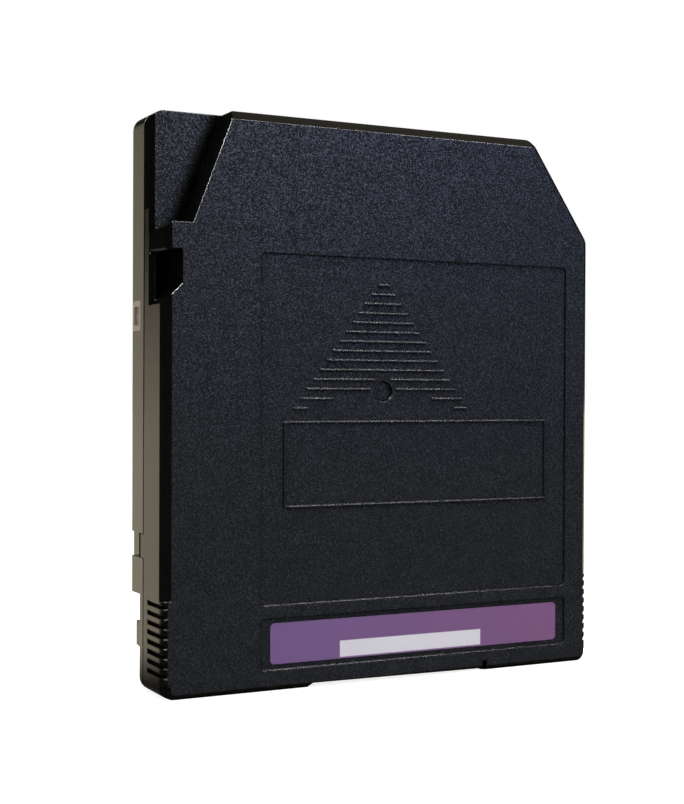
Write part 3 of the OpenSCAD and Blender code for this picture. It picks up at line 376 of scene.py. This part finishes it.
def metal(name, colour, rough, pitch, relief, stretch=(1, 1, 1)):
    """Bare metal with tool marks: noise of the given pitch, drawn out along one axis by
    stretch, varies the roughness and gives a shallow relief."""
    made, tree, body = new_material(name)
    turned = add(tree, "Mapping", {"Vector": coordinates(tree)[0], "Scale": stretch}).outputs[0]
    marks = add(tree, "TexNoise", {"Vector": turned, "Scale": pitch, "Detail": 4.0}).outputs["Fac"]
    darker = tuple(part * 0.88 for part in colour)
    soft_edge = add(tree, "Bevel", {"Radius": 0.0001}, samples=4).outputs[0]
    bump = add(tree, "Bump", {"Distance": relief, "Height": marks, "Normal": soft_edge})
    body.inputs["Metallic"].default_value = 1.0
    tree.links.new(blend(tree, marks, darker, colour), body.inputs["Base Color"])
    tree.links.new(ramp(tree, marks, 0.0, 1.0, rough * 0.75, rough * 1.3), body.inputs["Roughness"])
    tree.links.new(bump.outputs[0], body.inputs["Normal"])
    return made


finish_node("drive_plate", metal("plate_steel", (0.62, 0.61, 0.59), 0.32, 900.0, 0.00001, (1, 8, 1)))
finish_node("leader_pin", metal("pin_steel", (0.75, 0.74, 0.72), 0.18, 1500.0, 0.000004, (1, 12, 1)))
finish_node("pin_spring", metal("spring_sheet", (0.66, 0.65, 0.62), 0.26, 1800.0, 0.000005, (1, 6, 1)))
finish_node("case_screws", metal("screw_steel", (0.16, 0.16, 0.17), 0.34, 2500.0, 0.00001))

# Wound tape: dark film whose turns show as fine rings round the reel's axis
joints = {joint["name"]: joint for joint in frame["joints"]}
axis_x, _, axis_z = joints["reel_spin"]["pos_m"]
tape_film, tree, body = new_material("tape_film")
from_axis = add(tree, "Mapping", {"Vector": coordinates(tree)[0], "Location": (-axis_x, 0, -axis_z)})
wave = {"Vector": from_axis.outputs[0], "Scale": 900.0, "Distortion": 0.6, "Detail": 2.0}
turns = add(tree, "TexWave", wave, wave_type="RINGS", rings_direction="Y").outputs["Fac"]
bump = add(tree, "Bump", {"Distance": 0.00002, "Height": turns})
tree.links.new(blend(tree, turns, (0.020, 0.016, 0.014), (0.045, 0.036, 0.030)), body.inputs["Base Color"])
tree.links.new(bump.outputs[0], body.inputs["Normal"])
body.inputs["Roughness"].default_value = 0.28
for node in ("tape_pack", "tape_leader"):
    finish_node(node, tape_film)

# --- Springs ----------------------------------------------------------------------------
# Both return springs are wound from bright wire, with closed ends. On the cartridge each shortens along
# its own axis as the door or the brake moves; here both are built at rest and fixed to the case.


def wound_spring(name, node, axis, wire, turns, rings=28, sides=10):
    """A tube of radius wire/2 along a helix, over s from 0 to 1 along the wire and b from 0 to
    2 pi round it: angle = 2 pi turns s, reach = radius + wire/2 cos b, and the height is
    climb(s) + wire/2 sin b. Over the first and last three quarters of a turn the climb is
    only one wire for each turn, so that the end coils close up."""
    end_turns = 0.75
    low, high = (np.array(p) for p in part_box(node))
    middle, length = (low + high) / 2, (high - low)[axis]
    across, along = (i for i in range(3) if i != axis)
    radius = (high - low)[across] / 2 - wire / 2
    steps = int(turns * rings) + 1
    s = np.linspace(0, 1, steps)[:, None]
    angle = 2 * np.pi * turns * s
    closed = end_turns / turns
    slow = np.clip(s / closed, 0, 1) + np.clip((s - 1 + closed) / closed, 0, 1)
    steady = np.clip((s - closed) / (1 - 2 * closed), 0, 1)
    climb = wire / 2 + wire * end_turns * slow + (length - wire * (1 + 2 * end_turns)) * steady
    b = np.linspace(0, 2 * np.pi, sides, endpoint=False)
    reach = radius + wire / 2 * np.cos(b)
    points = np.empty((steps, sides, 3))
    points[..., across] = middle[across] + reach * np.cos(angle)
    points[..., along] = middle[along] + reach * np.sin(angle)
    points[..., axis] = low[axis] + climb + wire / 2 * np.sin(b)

    i, j = np.meshgrid(np.arange(steps - 1) * sides, np.arange(sides), indexing="ij")
    k = (j + 1) % sides
    quads = np.stack([i + j, i + k, i + sides + k, i + sides + j], -1).reshape(-1, 4)
    ends = [list(range(sides))[::-1], list(range((steps - 1) * sides, steps * sides))]
    mesh = bpy.data.meshes.new(name)
    mesh.from_pydata(points.reshape(-1, 3).tolist(), [], quads.tolist() + ends)
    mesh.update()
    mesh.polygons.foreach_set("use_smooth", [True] * len(quads) + [False] * len(ends))
    if np.linalg.det(np.eye(3)[[across, along, axis]]) > 0:
        mesh.flip_normals()
    piece = bpy.data.objects.new(name, mesh)
    bpy.context.scene.collection.objects.link(piece)
    return piece


spring_wire = metal("spring_wire", (0.70, 0.69, 0.67), 0.22, 3000.0, 0.000004)
for name, node, axis, wire, turns, joint, fixed_end in (
        ("door_coil", "door_spring", 0, 0.0004, 14, "door_slide", 1),
        ("brake_coil", "brake_spring", 1, 0.0009, 4, "brake_slide", 0)):
    coil = wound_spring(name, node, axis, wire, turns)
    coil.data.materials.append(spring_wire)
    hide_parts(node)
    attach(coil, "case")
    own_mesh(coil)

# --- Memory -----------------------------------------------------------------------------
# A small laminate board with a solder mask, and one moulded chip on it.
finish_node("memory_board",
            moulded("board_laminate", (0.016, 0.10, 0.035), (0.03, 0.14, 0.06), 0.32, 0.00002, pitch=1800.0))
finish_node("memory_chip", moulded("chip_plastic", (0.012, 0.012, 0.013), (0.03, 0.03, 0.03), 0.55, 0.00003))
